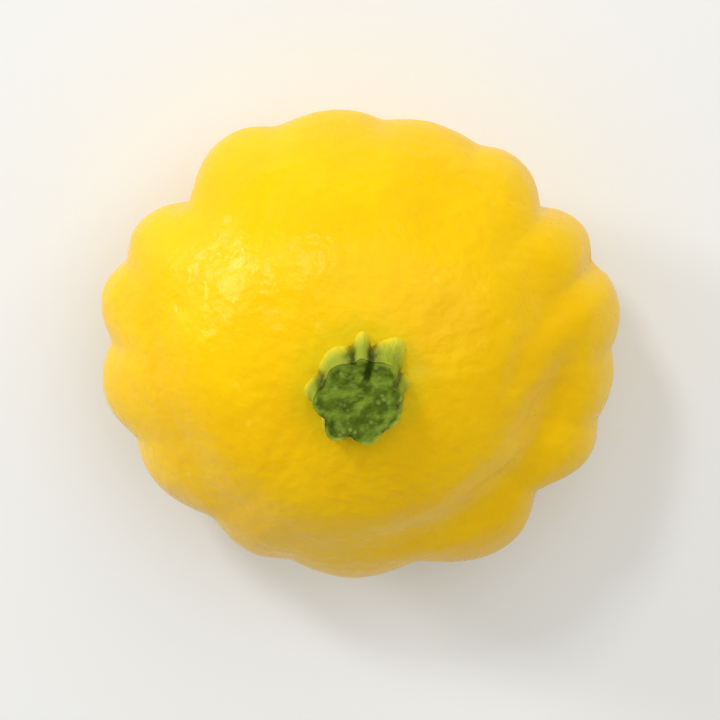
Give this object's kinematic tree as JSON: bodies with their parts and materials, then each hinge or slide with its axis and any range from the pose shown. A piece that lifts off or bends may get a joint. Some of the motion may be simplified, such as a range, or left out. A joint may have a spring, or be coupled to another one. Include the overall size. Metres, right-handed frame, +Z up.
{
  "type": "pattypan squash",
  "caption": "Whole small yellow pattypan squash: a saucer-shaped fruit with a scalloped rim and a cut green stem stub, resting on its blossom end.",
  "frame": {"origin": "on the ground plane, under the middle of the whole part's box, on the flat blossom end that the fruit rests on", "axes": "+Z up from the blossom end to the stem; +X along the longer width of the rim; +Y along its shorter width"},
  "size_m": [0.0506, 0.0462, 0.0325],
  "materials": {
    "skin": "waxy yellow rind, softly glossy, with a fine orange-peel texture",
    "stem": "matte green fibrous stub with a dry speckled cut face"
  },
  "bodies": {
    "root": {"fruit": "skin", "stem": "stem"}
  },
  "joints": []
}
